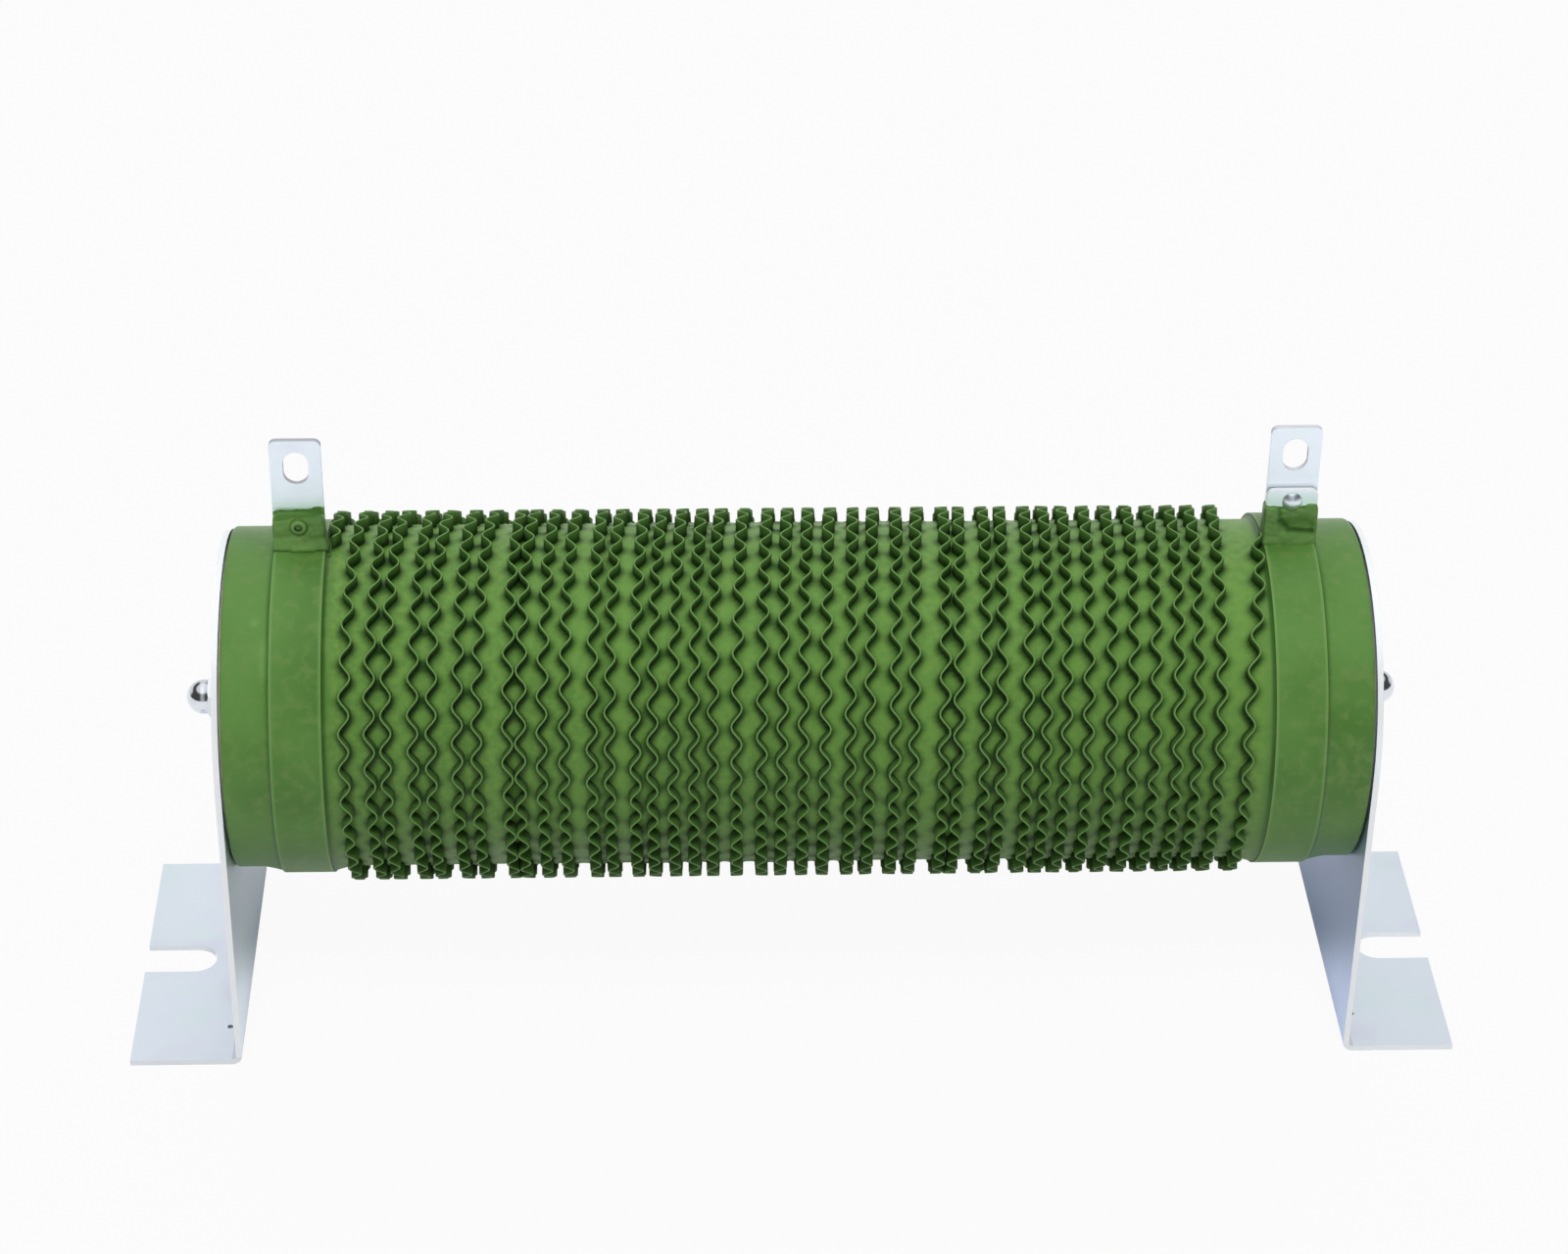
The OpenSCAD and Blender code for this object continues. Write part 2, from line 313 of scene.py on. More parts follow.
# Painted shade darkens the colour by the ribbon's roots and in the lumps' seams; below 0 a painted
# highlight pales the drips and lumps.
hollow = tube_coat.mark("hollow")
colour = tube_coat.mix(hollow, colour, COAT_SHADE)
colour = tube_coat.mix(hollow * -1, colour, COAT_HIGHLIGHT)
tube_coat.surface({
    "Base Color": colour,
    "Roughness": rough + SHADING_ROUGH * hollow,
    "Specular IOR Level": COAT_GLOSS,
    "Sheen Weight": COAT_SHEEN,
    "Normal": tube_coat.bump(height, COAT_BUMP_MM, COAT_BUMP),
})
print("tube coat nodes:", len(tube_coat.tree.nodes))

# %% The coat on the ribbon
# Painted shadow for the pit of a rivet.
COAT_PIT_SHADOW = srgb(8, 24, 3)
ROOT_SHADE = 0.6
CREST_LIGHT = 0.3
CREST_HIGHLIGHT_FROM = 0.95
CREST_HIGHLIGHT_SHARE = 0.8
PIT_RANGE = (0.3, 0.6)
RIBBON_GLOSS = 0.2
RIBBON_SHEEN = 0.02
RIBBON_BUMP_MM = 0.1
ribbon_coat = new_finish("ribbon_coat")
colour, rough, height = coat_parts(ribbon_coat, ribbon_coat.place())
# Painted shade darkens the walls towards the root, the top edge is paled partly for its thin coat
# and partly as a painted highlight, and the rivet's pit gets a painted shadow.
crest = ribbon_coat.mark("crest")
crest_highlight = ribbon_coat.step(crest, CREST_HIGHLIGHT_FROM, 1.0)
colour = ribbon_coat.mix(ROOT_SHADE - crest * CREST_LIGHT, colour, COAT_SHADE)
colour = ribbon_coat.mix(crest_highlight * CREST_HIGHLIGHT_SHARE, colour, COAT_HIGHLIGHT)
colour = ribbon_coat.mix(ribbon_coat.step(crest * -1, *PIT_RANGE), colour, COAT_PIT_SHADOW)
ribbon_coat.surface({
    "Base Color": colour,
    "Roughness": rough,
    "Specular IOR Level": RIBBON_GLOSS,
    "Sheen Weight": RIBBON_SHEEN,
    "Normal": ribbon_coat.bump(height, RIBBON_BUMP_MM, COAT_BUMP),
})
print("ribbon coat nodes:", len(ribbon_coat.tree.nodes))

# %% [markdown]
# ## Zinc plate
# The feet and the lugs are zinc-plated sheet, passivated to a cold white with a breath of violet
# and mint. A rainbow ramp is too strong. Two wide noises that tint a pale blue stay faint enough.
# Fine rolling marks along the sheet come from a stretched noise that moves the roughness.

# %% Zinc before any marks
ZINC_BLUE = srgb(222, 230, 240)
ZINC_VIOLET = srgb(224, 220, 238)
ZINC_MINT = srgb(212, 234, 230)
ZINC_ROUGH = 0.30
VIOLET_MM = 17
VIOLET_RANGE = (0.48, 0.72)
VIOLET_SHARE = 0.5
VIOLET_ROUGH = 0.06
MINT_MM = 12
MINT_STRETCH = (1.0, -1.0, 1.3)
MINT_RANGE = (0.5, 0.75)
MINT_SHARE = 0.4
GRAIN_MM = 0.5
GRAIN_STRETCH = (0.12, 1.0, 1.0)
FINEST_DETAIL = 4
GRAIN_ROUGH = 0.16


def zinc_parts(graph, place):
    """Colour, roughness and height of plated sheet."""
    violet = graph.step(graph.cloud(place, VIOLET_MM), *VIOLET_RANGE)
    mint = graph.cloud(graph.stretched(place, MINT_STRETCH), MINT_MM)
    grain = graph.cloud(graph.stretched(place, GRAIN_STRETCH), GRAIN_MM, FINEST_DETAIL)
    colour = graph.mix(violet * VIOLET_SHARE, ZINC_BLUE, ZINC_VIOLET)
    colour = graph.mix(graph.step(mint, *MINT_RANGE) * MINT_SHARE, colour, ZINC_MINT)
    rough = ZINC_ROUGH + GRAIN_ROUGH * grain + VIOLET_ROUGH * violet
    return colour, rough, grain


print("zinc roughness", ZINC_ROUGH, "to", round(ZINC_ROUGH + GRAIN_ROUGH + VIOLET_ROUGH, 2))

# %% [markdown]
# A foot isn't the same zinc all over. Where the sheet was sheared it is duller, a painted highlight
# pales the outline, and the inner face of a leg gets painted shade with a blue tint. Three
# materials would do, but three numbers on the faces, for the cut, the rim highlight and the
# shaded cast, keep it one finish.

# %% Zinc on the feet
# Painted shade with a blue tint for the inner face of a leg, which mirrors the shade under the
# tube.
ZINC_SHADED_CAST = srgb(190, 203, 234)
ZINC_CUT = srgb(120, 128, 140)
# A painted highlight along the sheet's outline, where light catches its round edges.
ZINC_RIM_HIGHLIGHT = srgb(244, 247, 250)
CUT_SHARE = 0.5
CUT_ROUGH = 0.2
RIM_HIGHLIGHT_MATT = 0.8
ZINC_BUMP_MM = 0.02
ZINC_BUMP = 0.4
zinc_plate = new_finish("zinc_plate")
colour, rough, grain = zinc_parts(zinc_plate, zinc_plate.place())
cut = zinc_plate.mark("cut")
rim = zinc_plate.mark("rim")
colour = zinc_plate.mix(zinc_plate.mark("cast"), colour, ZINC_SHADED_CAST)
colour = zinc_plate.mix(cut * CUT_SHARE, colour, ZINC_CUT)
zinc_plate.surface({
    "Base Color": zinc_plate.mix(rim, colour, ZINC_RIM_HIGHLIGHT),
    "Roughness": rough + CUT_ROUGH * cut,
    "Metallic": 1 - RIM_HIGHLIGHT_MATT * rim,
    "Normal": zinc_plate.bump(grain, ZINC_BUMP_MM, ZINC_BUMP),
})
print("zinc nodes:", len(zinc_plate.tree.nodes))

# %% [markdown]
# A band is coated up to the foot of its lug, and bare zinc above. Two materials with a seam in
# the mesh would give a ruled line. A mask on the height, which slopes a little and is pushed up
# and down by a noise, gives the ragged edge that a dip leaves, and it switches colour, roughness
# and metal together. Above the line a thin film of coat fades out. A painted highlight pales the
# coat along the band's two edges. The lug's sheared faces are marked as cut, and the lip of the
# short end gets a painted rim highlight, as the feet's outline does.

# %% Zinc and coat on a band
COAT_FILM = srgb(200, 222, 216)
RAG_MM = 2.2
RAG_DEEP = 1.6
BAND_HIGHLIGHT_FROM = 0.8
BAND_HIGHLIGHT_TO = 0.2
BAND_HIGHLIGHT_SHARE = 0.6
GRAIN_HEIGHT = 0.1


def band_finish(name, coat_top_mm, slope, fade_mm, cut_colour):
    """Enamel below a sloping line at the given height, bare zinc above it."""
    graph = new_finish(name)
    place = graph.place()
    coat, coat_rough, coat_height = coat_parts(graph, place)
    zinc, zinc_rough, grain = zinc_parts(graph, place)
    far, from_band = band_side(graph, place)
    # A painted highlight pales the coat along the band's two edges, where light catches their
    # rounds.
    edge = graph.step(from_band, (BAND_HALF - BAND_HIGHLIGHT_FROM) * MM, (BAND_HALF - BAND_HIGHLIGHT_TO) * MM)
    coat = graph.mix(edge * BAND_HIGHLIGHT_SHARE, coat, COAT_HIGHLIGHT)
    rag = (graph.cloud(place, RAG_MM) - 0.5) * (RAG_DEEP * MM)
    level = graph.axis(place, "Z") + rag + (far - BAND_MID * MM) * slope
    top = coat_top_mm * MM
    bare = graph.step(level, top - LINE_SOFT * MM, top + LINE_SOFT * MM)
    thin = 1 - graph.step(level, top, top + fade_mm * MM)
    cut = graph.mark("cut")
    rim = graph.mark("rim")
    zinc = graph.mix(thin, zinc, COAT_FILM)
    zinc = graph.mix(cut, zinc, cut_colour)
    zinc = graph.mix(rim, zinc, ZINC_RIM_HIGHLIGHT)
    height = (1 - bare) * coat_height + bare * grain * GRAIN_HEIGHT
    graph.surface({
        "Base Color": graph.mix(bare, coat, zinc),
        "Roughness": coat_rough + bare * (zinc_rough - coat_rough),
        "Metallic": bare * (1 - cut) * (1 - rim),
        "Specular IOR Level": COAT_GLOSS,
        "Normal": graph.bump(height, COAT_BUMP_MM, COAT_BUMP),
    })
    print(name, "nodes:", len(graph.tree.nodes))
    return graph


LEFT_TOP = AXIS_Z + 44.8
RIGHT_TOP = AXIS_Z + 44.7
LEFT_CUT = srgb(176, 180, 187)
RIGHT_CUT = srgb(214, 216, 224)
left_band_finish = band_finish(
    "left_band_finish", LEFT_TOP, slope=0.08, fade_mm=3.0, cut_colour=LEFT_CUT,
)
right_band_finish = band_finish(
    "right_band_finish", RIGHT_TOP, slope=0.0, fade_mm=5.0, cut_colour=RIGHT_CUT,
)

# %% [markdown]
# ## Bright steel, mica
# The cap nuts are polished and plated, so their look is almost all reflection, with a few fine
# turning lines. The washers and the rod are plainer. The end rings are mica, which is flaky and
# pale. Each one is short, because little of it shows.

# %% Steel
STEEL_DULL = srgb(120, 124, 132)
SMEAR_MM = 4
SMEAR_SHARE = 0.4
TURNED_MM = 0.35
TURNED_STRETCH = (1.0, 0.15, 0.15)
STEEL_BUMP_MM = 0.01
STEEL_BUMP = 0.3


def steel_finish(name, colour, rough_low, rough_high):
    graph = new_finish(name)
    place = graph.place()
    lines = graph.cloud(graph.stretched(place, TURNED_STRETCH), TURNED_MM, FINE_DETAIL)
    smear = graph.cloud(place, SMEAR_MM)
    graph.surface({
        "Base Color": graph.mix(smear * SMEAR_SHARE, colour, STEEL_DULL),
        "Roughness": rough_low + (rough_high - rough_low) * lines,
        "Metallic": 1.0,
        "Normal": graph.bump(lines, STEEL_BUMP_MM, STEEL_BUMP),
    })
    print(name, "nodes:", len(graph.tree.nodes))
    return graph


STEEL_BRIGHT = srgb(214, 218, 224)
STEEL_PLAIN = srgb(176, 180, 186)
bright_steel = steel_finish("bright_steel", STEEL_BRIGHT, rough_low=0.06, rough_high=0.18)
plain_steel = steel_finish("plain_steel", STEEL_PLAIN, rough_low=0.25, rough_high=0.45)

# %% Mica
MICA_DEEP = srgb(186, 178, 158)
MICA_PALE = srgb(226, 220, 204)
FLAKE_MM = 1.2
FLAKE_STRETCH = (1.0, 0.4, 0.4)
FLAKE_ROUGH = 0.3
FLAKE_BUMP_MM = 0.05
FLAKE_BUMP = 0.4
MICA_ROUGH = 0.45
mica = new_finish("mica")
flake = mica.cloud(mica.stretched(mica.place(), FLAKE_STRETCH), FLAKE_MM, FINEST_DETAIL)
mica.surface({
    "Base Color": mica.mix(flake, MICA_DEEP, MICA_PALE),
    "Roughness": MICA_ROUGH + FLAKE_ROUGH * flake,
    "Normal": mica.bump(flake, FLAKE_BUMP_MM, FLAKE_BUMP),
})
print("mica nodes:", len(mica.tree.nodes))

# %% [markdown]
# ## A piece in the scene
# Every piece moves with the CAD body, gets its finish, and hides the CAD nodes it stands for.
# Nothing on this object moves by itself, so there is one body. Writing these calls for each piece
# would work, but one helper can't forget any of them.


# %% Put a mesh in the scene
def add_piece(name, mesh, graph, slot, *nodes):
    """A piece that rides on the CAD body, in place of the named nodes."""
    piece = bpy.data.objects.new(name, mesh)
    bpy.context.scene.collection.objects.link(piece)
    mesh.materials.clear()
    mesh.materials.append(graph.owner)
    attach(piece, "root")
    if nodes:
        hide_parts(*nodes)
    print(name, len(mesh.vertices), "points,", len(mesh.polygons), "faces")
    return piece


def smooth_mesh(name, points, faces):
    """A smooth-shaded mesh from points in millimetres."""
    mesh = bpy.data.meshes.new(name)
    mesh.from_pydata([p * MM for p in points], [], faces)
    mesh.shade_smooth()
    return mesh


def add_mark(mesh, mark, domain, values):
    """Stores a number on each point or face, for an Attribute node to read."""
    mesh.attributes.new(mark, "FLOAT", domain).data.foreach_set("value", values)


print("CAD nodes to dress:", len(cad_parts))

# %% [markdown]
# ## The corrugated ribbon
# The ribbon is a crimped strip that stands on its edge. Its CAD solid has four points a wave. A
# true strip is a small section swept along a helix with a wave in it. A curve with a bevel could
# do that, but the section would twist, so the rings are placed one by one: across the strip, along
# the tube's normal. Ten rings a wave are enough for smooth bends.

# %% How the winding wanders
TURNS = 42
FRONT_TURN = 0.84
FEWEST_WAVES = 31.75

# Each turn on the front: place along the tube in mm, and share of a wave. Two near turns
# that are half a wave apart enclose diamonds.
FRONT_PLACES = [
    (-89.9, 0.93), (-85.0, 0.94), (-81.7, 0.44), (-76.4, 0.43), (-72.8, 0.95), (-67.7, 0.22),
    (-63.8, 0.70), (-57.8, 0.77), (-55.3, 0.25), (-51.0, 0.95), (-46.7, 0.78), (-41.2, 0.44),
    (-37.7, 0.41), (-32.7, 0.04), (-29.2, 0.20), (-25.1, 0.60), (-21.1, 0.58), (-17.4, 0.40),
    (-12.6, 0.84), (-7.6, 0.12), (-3.6, 0.86), (0.6, 0.76), (4.9, 0.44), (9.9, 0.50),
    (13.8, 0.66), (18.7, 0.28), (22.6, 0.36), (28.5, 0.53), (31.3, 0.15), (36.6, 0.42),
    (39.9, 0.67), (45.1, 0.60), (48.8, 0.04), (52.7, 0.08), (57.1, 0.58), (61.7, 0.76),
    (66.0, 0.15), (70.4, 0.62), (74.9, 0.54), (78.9, 0.60), (83.4, 0.54), (89.1, 0.42),
]
wave_starts = [0.0]
for _, share in FRONT_PLACES + [(0, 0)]:
    wave_starts.append(share + math.ceil(wave_starts[-1] + FEWEST_WAVES - share))
waves_a_turn = wave_starts[TURNS] / TURNS
print("waves in all:", round(wave_starts[TURNS]), "and a turn:", round(waves_a_turn, 2))


# %% Turns and waves
def turn_of(wave):
    """How many turns from the start a wave is. The counts in wave_starts are at the front."""
    turn = min(bisect.bisect_right(wave_starts, wave), len(wave_starts) - 1) - 1
    share = (wave - wave_starts[turn]) / (wave_starts[turn + 1] - wave_starts[turn])
    return turn + share + FRONT_TURN - 1


def wave_at(turn):
    """Waves counted up to a turn from the start."""
    from_front = turn + 1 - FRONT_TURN
    whole = int(from_front)
    return wave_starts[whole] + (from_front - whole) * (wave_starts[whole + 1] - wave_starts[whole])


print("first and last wave:", round(wave_at(0), 1), round(wave_at(TURNS), 1))

# %% The line that the ribbon follows
SWING = 1.06
HALF_STRIP = 0.2
LEAD_IN_TURN = 0.8
LEAD_OUT = 3.9
LEAD_OUT_TURN = 0.2
BACK_TURN = 0.25
CROSSING = 0.25
TILT = 1.6
ribbon_start = -RIBBON_END + SWING + HALF_STRIP
ribbon_pitch = (-2 * ribbon_start - LEAD_OUT) / TURNS
pushes = [0.0]
for turn, (front_x, _) in enumerate(FRONT_PLACES):
    pushes.append(front_x - ribbon_start - ribbon_pitch * (turn + FRONT_TURN))
pushes.append(0.0)


def mean_line(turn):
    """Where along the tube the ribbon is after that many turns. It changes lane at the back."""
    from_back = turn + 1 - BACK_TURN
    lane = int(from_back)
    change = ease((from_back - lane - 1 + CROSSING) / CROSSING)
    push = pushes[lane] + (pushes[lane + 1] - pushes[lane]) * change
    push += TILT * (1 - math.cos(2 * math.pi * (turn - FRONT_TURN)))
    leaving = ease((turn - TURNS + LEAD_OUT_TURN) / LEAD_OUT_TURN)
    push = push * ease(turn / LEAD_IN_TURN) * (1 - leaving)
    return ribbon_start + ribbon_pitch * turn + LEAD_OUT * leaving + push


print(f"pitch {ribbon_pitch:.2f} mm, from {mean_line(0):.2f} to {mean_line(TURNS):.2f}")

# %% The waves of the strip
SWING_CHANGE = 0.1
SWING_RATE = 0.7
SWING_ROW = 3.1
LEAN = 0.22
LEAN_RATE = 0.25
LEAN_ROW = 7.7


def wander(along, row):
    """A slow change along the ribbon, from -1 to 1. Each row is a pattern of its own."""
    return noise.noise(Vector((along, row, 0.0)))


def swing_at(wave):
    """Half width of the wave there. No two waves are crimped quite alike."""
    return SWING * (1 + SWING_CHANGE * wander(wave * SWING_RATE, SWING_ROW))


def ribbon_line(wave):
    """Place along the tube of the strip's middle."""
    return mean_line(turn_of(wave)) - swing_at(wave) * math.cos(2 * math.pi * wave)


print("half widths of three waves:", [round(swing_at(wave), 3) for wave in (10, 11, 12)])

# %% Sweep the strip
RINGS_A_WAVE = 10
ROOT_SPREAD = 0.08
ROOT_SUNK = 0.05
CREST_ROUND = 0.09
CREST_DROP = 0.16
strip_h = CREST_R - TUBE_R
HALF_SECTION = [
    (HALF_STRIP + ROOT_SPREAD, -ROOT_SUNK),
    (HALF_STRIP, strip_h - CREST_DROP),
    (CREST_ROUND, strip_h),
]
SECTION = HALF_SECTION + [(-across, up) for across, up in reversed(HALF_SECTION)]


def ribbon_ring(wave):
    """The section's points at one place along the ribbon."""
    lean = LEAN * wander(wave * LEAN_RATE, LEAN_ROW)
    middle = ribbon_line(wave)
    wave_length = 2 * math.pi * CREST_R / waves_a_turn
    slope = swing_at(wave) * 2 * math.pi / wave_length * math.sin(2 * math.pi * wave)
    along = 1 / math.hypot(1, slope)
    angle = 2 * math.pi * turn_of(wave)
    ring = []
    for across, up in SECTION:
        radius = TUBE_R + up
        x = middle + across * along + lean * up / strip_h
        x = min(max(x, -RIBBON_END), RIBBON_END)
        ring.append(round_tube(x, radius, angle - across * along * slope / radius))
    return ring


first_ring = math.ceil(wave_at(0) * RINGS_A_WAVE)
last_ring = math.floor(wave_at(TURNS) * RINGS_A_WAVE)
rings = last_ring - first_ring + 1
points = []
for number in range(first_ring, last_ring + 1):
    points += ribbon_ring(number / RINGS_A_WAVE)
print("rings:", rings)


# %% Skin the strip
def tube_faces(rings, around):
    """Quads between rings of points, with a cap at each end."""
    faces = []
    for ring in range(rings - 1):
        for k in range(around):
            a = ring * around + k
            b = ring * around + (k + 1) % around
            faces.append((a, b, b + around, a + around))
    faces.append(tuple(range(around - 1, -1, -1)))
    faces.append(tuple((rings - 1) * around + k for k in range(around)))
    return faces


ribbon_mesh = smooth_mesh("corrugated_ribbon", points, tube_faces(rings, len(SECTION)))
crests = [max(up, 0.0) / strip_h for _, up in SECTION] * rings
add_mark(ribbon_mesh, "crest", "POINT", crests)
add_piece("corrugated_ribbon", ribbon_mesh, ribbon_coat, "coated_ribbon", "resistance_ribbon")

# %% [markdown]
# ## The coated tube
# The tube is ceramic, and the enamel on it has a little wave, a fillet along each band, a few
# drips, and a sag on the underside. A lathe in CAD can't give that. A grid round the tube can:
# each point stands out by the depth of the coat there. The grid is fine at the bands' edges, for
# the fillets, and along the winding, because its points also carry the painted shading.

# %% Fillets along the bands
FILLET_W = 1.1
FILLET_H = 0.75
FILLET_RAG = 0.35
RAGS_ROUND = 4
RAG_ROW = 5
SAG_W = 4.6
SAG_H = 0.4
SAG_POWER = 4


def fillet(x, angle):
    """Coat that climbs to a band's edge, a little ragged. Underneath it sags into a wide ramp."""
    gap = max(BAND_IN - abs(x), abs(x) - BAND_OUT, 0.0)
    row = math.copysign(RAG_ROW, x)
    place = Vector((row, RAGS_ROUND * math.cos(angle), RAGS_ROUND * math.sin(angle)))
    ragged = 1 + FILLET_RAG * noise.noise(place)
    under = ((1 - math.cos(angle)) / 2) ** SAG_POWER
    width = (FILLET_W + SAG_W * under) * ragged
    return (FILLET_H + SAG_H * under) * max(0.0, 1 - gap / width) ** (2 - under)


print("fillet in front:", round(fillet(BAND_OUT, -math.pi / 2), 2), "mm")
print("fillet below:", round(fillet(BAND_OUT, math.pi), 2), "mm")

# %% Drips and depth of the coat
COAT_WAVE = 0.05
WAVE_LONG = 12
WAVES_ROUND = 3
# Drips get a painted highlight, this much for each mm of their height.
BEAD_HIGHLIGHT = 2.0

# Small drips and beads of enamel: place along the tube, angle from the top, size and height in mm
BEADS = [(-107.9, -32.0, 0.8, 0.35), (109.5, 60.0, 0.7, 0.3), (-110.0, 150.0, 0.9, 0.3)]
BEADS += [(-106.2, angle, 0.7, 0.2) for angle in (-41.0, -43.0, -45.0, -47.0, -49.0)]
BEADS += [(-106.2, angle, 0.7, 0.15) for angle in (-39.0, -51.0)]


def bead(x, angle):
    depth = 0.0
    for bead_x, bead_angle, size, height in BEADS:
        turned = (angle - math.radians(bead_angle) + math.pi) % (2 * math.pi) - math.pi
        far = math.hypot(x - bead_x, turned * TUBE_R) / size
        depth += height * math.exp(-far * far)
    return depth


def coat_depth(x, angle):
    place = Vector((x / WAVE_LONG, WAVES_ROUND * math.cos(angle), WAVES_ROUND * math.sin(angle)))
    return COAT_WAVE * noise.noise(place) + fillet(x, angle) + bead(x, angle)


drip_x, drip_angle, _, _ = BEADS[0]
print("coat at the first drip:", round(coat_depth(drip_x, math.radians(drip_angle)), 2), "mm")

# %% Painted shade between the turns
# The painted shade hangs a little below each strip, as the shadow of light from above would.
SHADOW_DROP = math.radians(1.7)
SHADE_REACH = 1.15


def strips_at(angle):
    """Places along the tube where the ribbon crosses that angle, from left to right."""
    share = angle / (2 * math.pi) % 1
    return [-TUBE_END] + [ribbon_line(wave_at(turn + share)) for turn in range(TURNS)] + [TUBE_END]


def hollow_at(x, strips):
    """How much a place is hemmed in by the ribbon on its two sides, 0 to 1, painted in as shade."""
    onward = min(max(bisect.bisect_left(strips, x), 1), len(strips) - 1)
    gaps = (x - strips[onward - 1], strips[onward] - x)
    return min(1.0, sum(math.exp(-((gap / SHADE_REACH) ** 2)) for gap in gaps))


print("hollow at the middle of the front:", round(hollow_at(0, strips_at(-math.pi / 2)), 2))

# %% Stations along the tube
EDGE_R = 0.6
EDGE_STEPS = 5
WOUND_STEP = 0.55
FILLET_STEP = 0.25
HIDDEN_STEP = 3.0
END_STEP = 0.6
PAST_EDGE = 0.4


def stations(low, high, step):
    count = max(1, round((high - low) / step))
    return [low + (high - low) * k / count for k in range(count)]


half = stations(0, BAND_IN - FILLET_W - PAST_EDGE, WOUND_STEP)
half += stations(BAND_IN - FILLET_W - PAST_EDGE, BAND_IN + PAST_EDGE, FILLET_STEP)
half += stations(BAND_IN + PAST_EDGE, BAND_OUT - PAST_EDGE, HIDDEN_STEP)
half += stations(BAND_OUT - PAST_EDGE, TUBE_END - EDGE_R, END_STEP)
outline = [(x, TUBE_R, 1.0) for x in half]
for k in range(EDGE_STEPS + 1):
    turn = math.pi / 2 * k / EDGE_STEPS
    x = TUBE_END - EDGE_R * (1 - math.sin(turn))
    radius = TUBE_R - EDGE_R * (1 - math.cos(turn))
    outline.append((x, radius, 1 - k / EDGE_STEPS))
tube_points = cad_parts["ceramic_tube"].data.vertices
bore_r = min(math.hypot(v.co.y, v.co.z - AXIS_Z * MM) for v in tube_points) / MM
outline.append((TUBE_END, bore_r, 0.0))
outline = [(-x, r, share) for x, r, share in reversed(outline)] + outline[1:]
print(len(outline), "stations, bore radius", round(bore_r, 2))

# %% Skin the tube
AROUND = 244
ROOT_FILLET = 0.3
TUBE_SHARP = math.radians(50)
angles = [2 * math.pi * k / AROUND for k in range(AROUND)]
all_strips = [strips_at(angle - SHADOW_DROP * math.sin(angle)) for angle in angles]
points = []
hollows = []
for x, radius, share in outline:
    for angle, strips in zip(angles, all_strips):
        # Between the bands the mark is painted shade by the ribbon's roots, and outside them a
        # painted highlight on the drips.
        hollow = hollow_at(x, strips) if abs(x) < BAND_IN else -BEAD_HIGHLIGHT * bead(x, angle)
        depth = coat_depth(x, angle) + ROOT_FILLET * max(hollow, 0.0) ** 3
        points.append(round_tube(x, radius + share * depth, angle))
        hollows.append(hollow)
faces = []
for station in range(len(outline)):
    here = station * AROUND
    there = (station + 1) % len(outline) * AROUND
    for k in range(AROUND):
        side = (k + 1) % AROUND
        faces.append((here + k, there + k, there + side, here + side))
tube_mesh = smooth_mesh("coated_tube", points, faces)
tube_mesh.set_sharp_from_angle(angle=TUBE_SHARP)
add_mark(tube_mesh, "hollow", "POINT", hollows)
add_piece("coated_tube", tube_mesh, tube_coat, "green_coat", "ceramic_tube")

# %% [markdown]
# ## Softened sheet and turned pieces
# No real edge is a knife edge: light catches on a small round. The CAD solids have the right
# shape, so each is copied, its flat facets are joined again, and its sharp edges get a small
# bevel. A bevel on the original isn't allowed here, because the frame has to stay as packed.

# %% Copy a solid and round its edges
MERGE_MM = 0.001
FLAT = math.radians(0.4)
SHARP = math.radians(35)
SHADED_SHARP = math.radians(60)


def smooth_from(bm, name):
    """The mesh of a finished bmesh, smooth-shaded."""
    mesh = bpy.data.meshes.new(name)
    bm.to_mesh(mesh)
    bm.free()
    mesh.shade_smooth()
    return mesh


def softened(node, name, width_mm, segments=2):
    """A copy of a CAD node's mesh with its sharp edges rounded."""
    bm = bmesh.new()
    bm.from_mesh(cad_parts[node].data)
    bmesh.ops.remove_doubles(bm, verts=bm.verts, dist=MERGE_MM * MM)
    bmesh.ops.dissolve_limit(bm, angle_limit=FLAT, verts=bm.verts, edges=bm.edges)
    sharp = [e for e in bm.edges if e.is_manifold and e.calc_face_angle() > SHARP]
    bmesh.ops.bevel(
        bm, geom=sharp, offset=width_mm * MM, segments=segments, profile=0.5,
        affect="EDGES", clamp_overlap=True,
    )
    mesh = smooth_from(bm, name)
    mesh.set_sharp_from_angle(angle=SHADED_SHARP)
    return mesh


def weighted(piece):
    """Keeps wide faces flat to the light beside their rounded edges."""
    piece.modifiers.new("flat_faces", "WEIGHTED_NORMAL").keep_sharp = True


def mark_faces(mesh, mark, value_of):
    """Marks each face with what a function says of it."""
    add_mark(mesh, mark, "FACE", [float(value_of(face)) for face in mesh.polygons])


print("edges over", round(math.degrees(SHARP)), "degrees are rounded")

# %% [markdown]
# ## The two feet
# A foot is one sheet, sheared to its outline and bent once. Which of its faces are sheared, and
# which looks at the tube, follows from where a face is and where it points, so the marks need no
# list of faces. The front and back faces run from the leg into the flat in one piece. They are
# cut in two in the copy, because a mark is one number for a whole face.

# %% Marks on a foot
LEG_ZONE = 1.9
FOOT_TIP = 130
TOOL_MARK_Y = 23.5
TOOL_MARK_HALF = 1
SIDEWAYS = 0.5
STRAIGHT_ON = 0.9


def foot_cut(face):
    """A sheared face beside the foot's flat."""
    at_tip = abs(face.normal.x) > SIDEWAYS and abs(face.center.x) > FOOT_TIP * MM
    return (abs(face.normal.y) > SIDEWAYS or at_tip) and face.center.z < LEG_ZONE * MM


def leg_rim(face):
    """A sheared face round the leg's outline."""
    return abs(face.normal.x) < SIDEWAYS and face.center.z > LEG_ZONE * MM


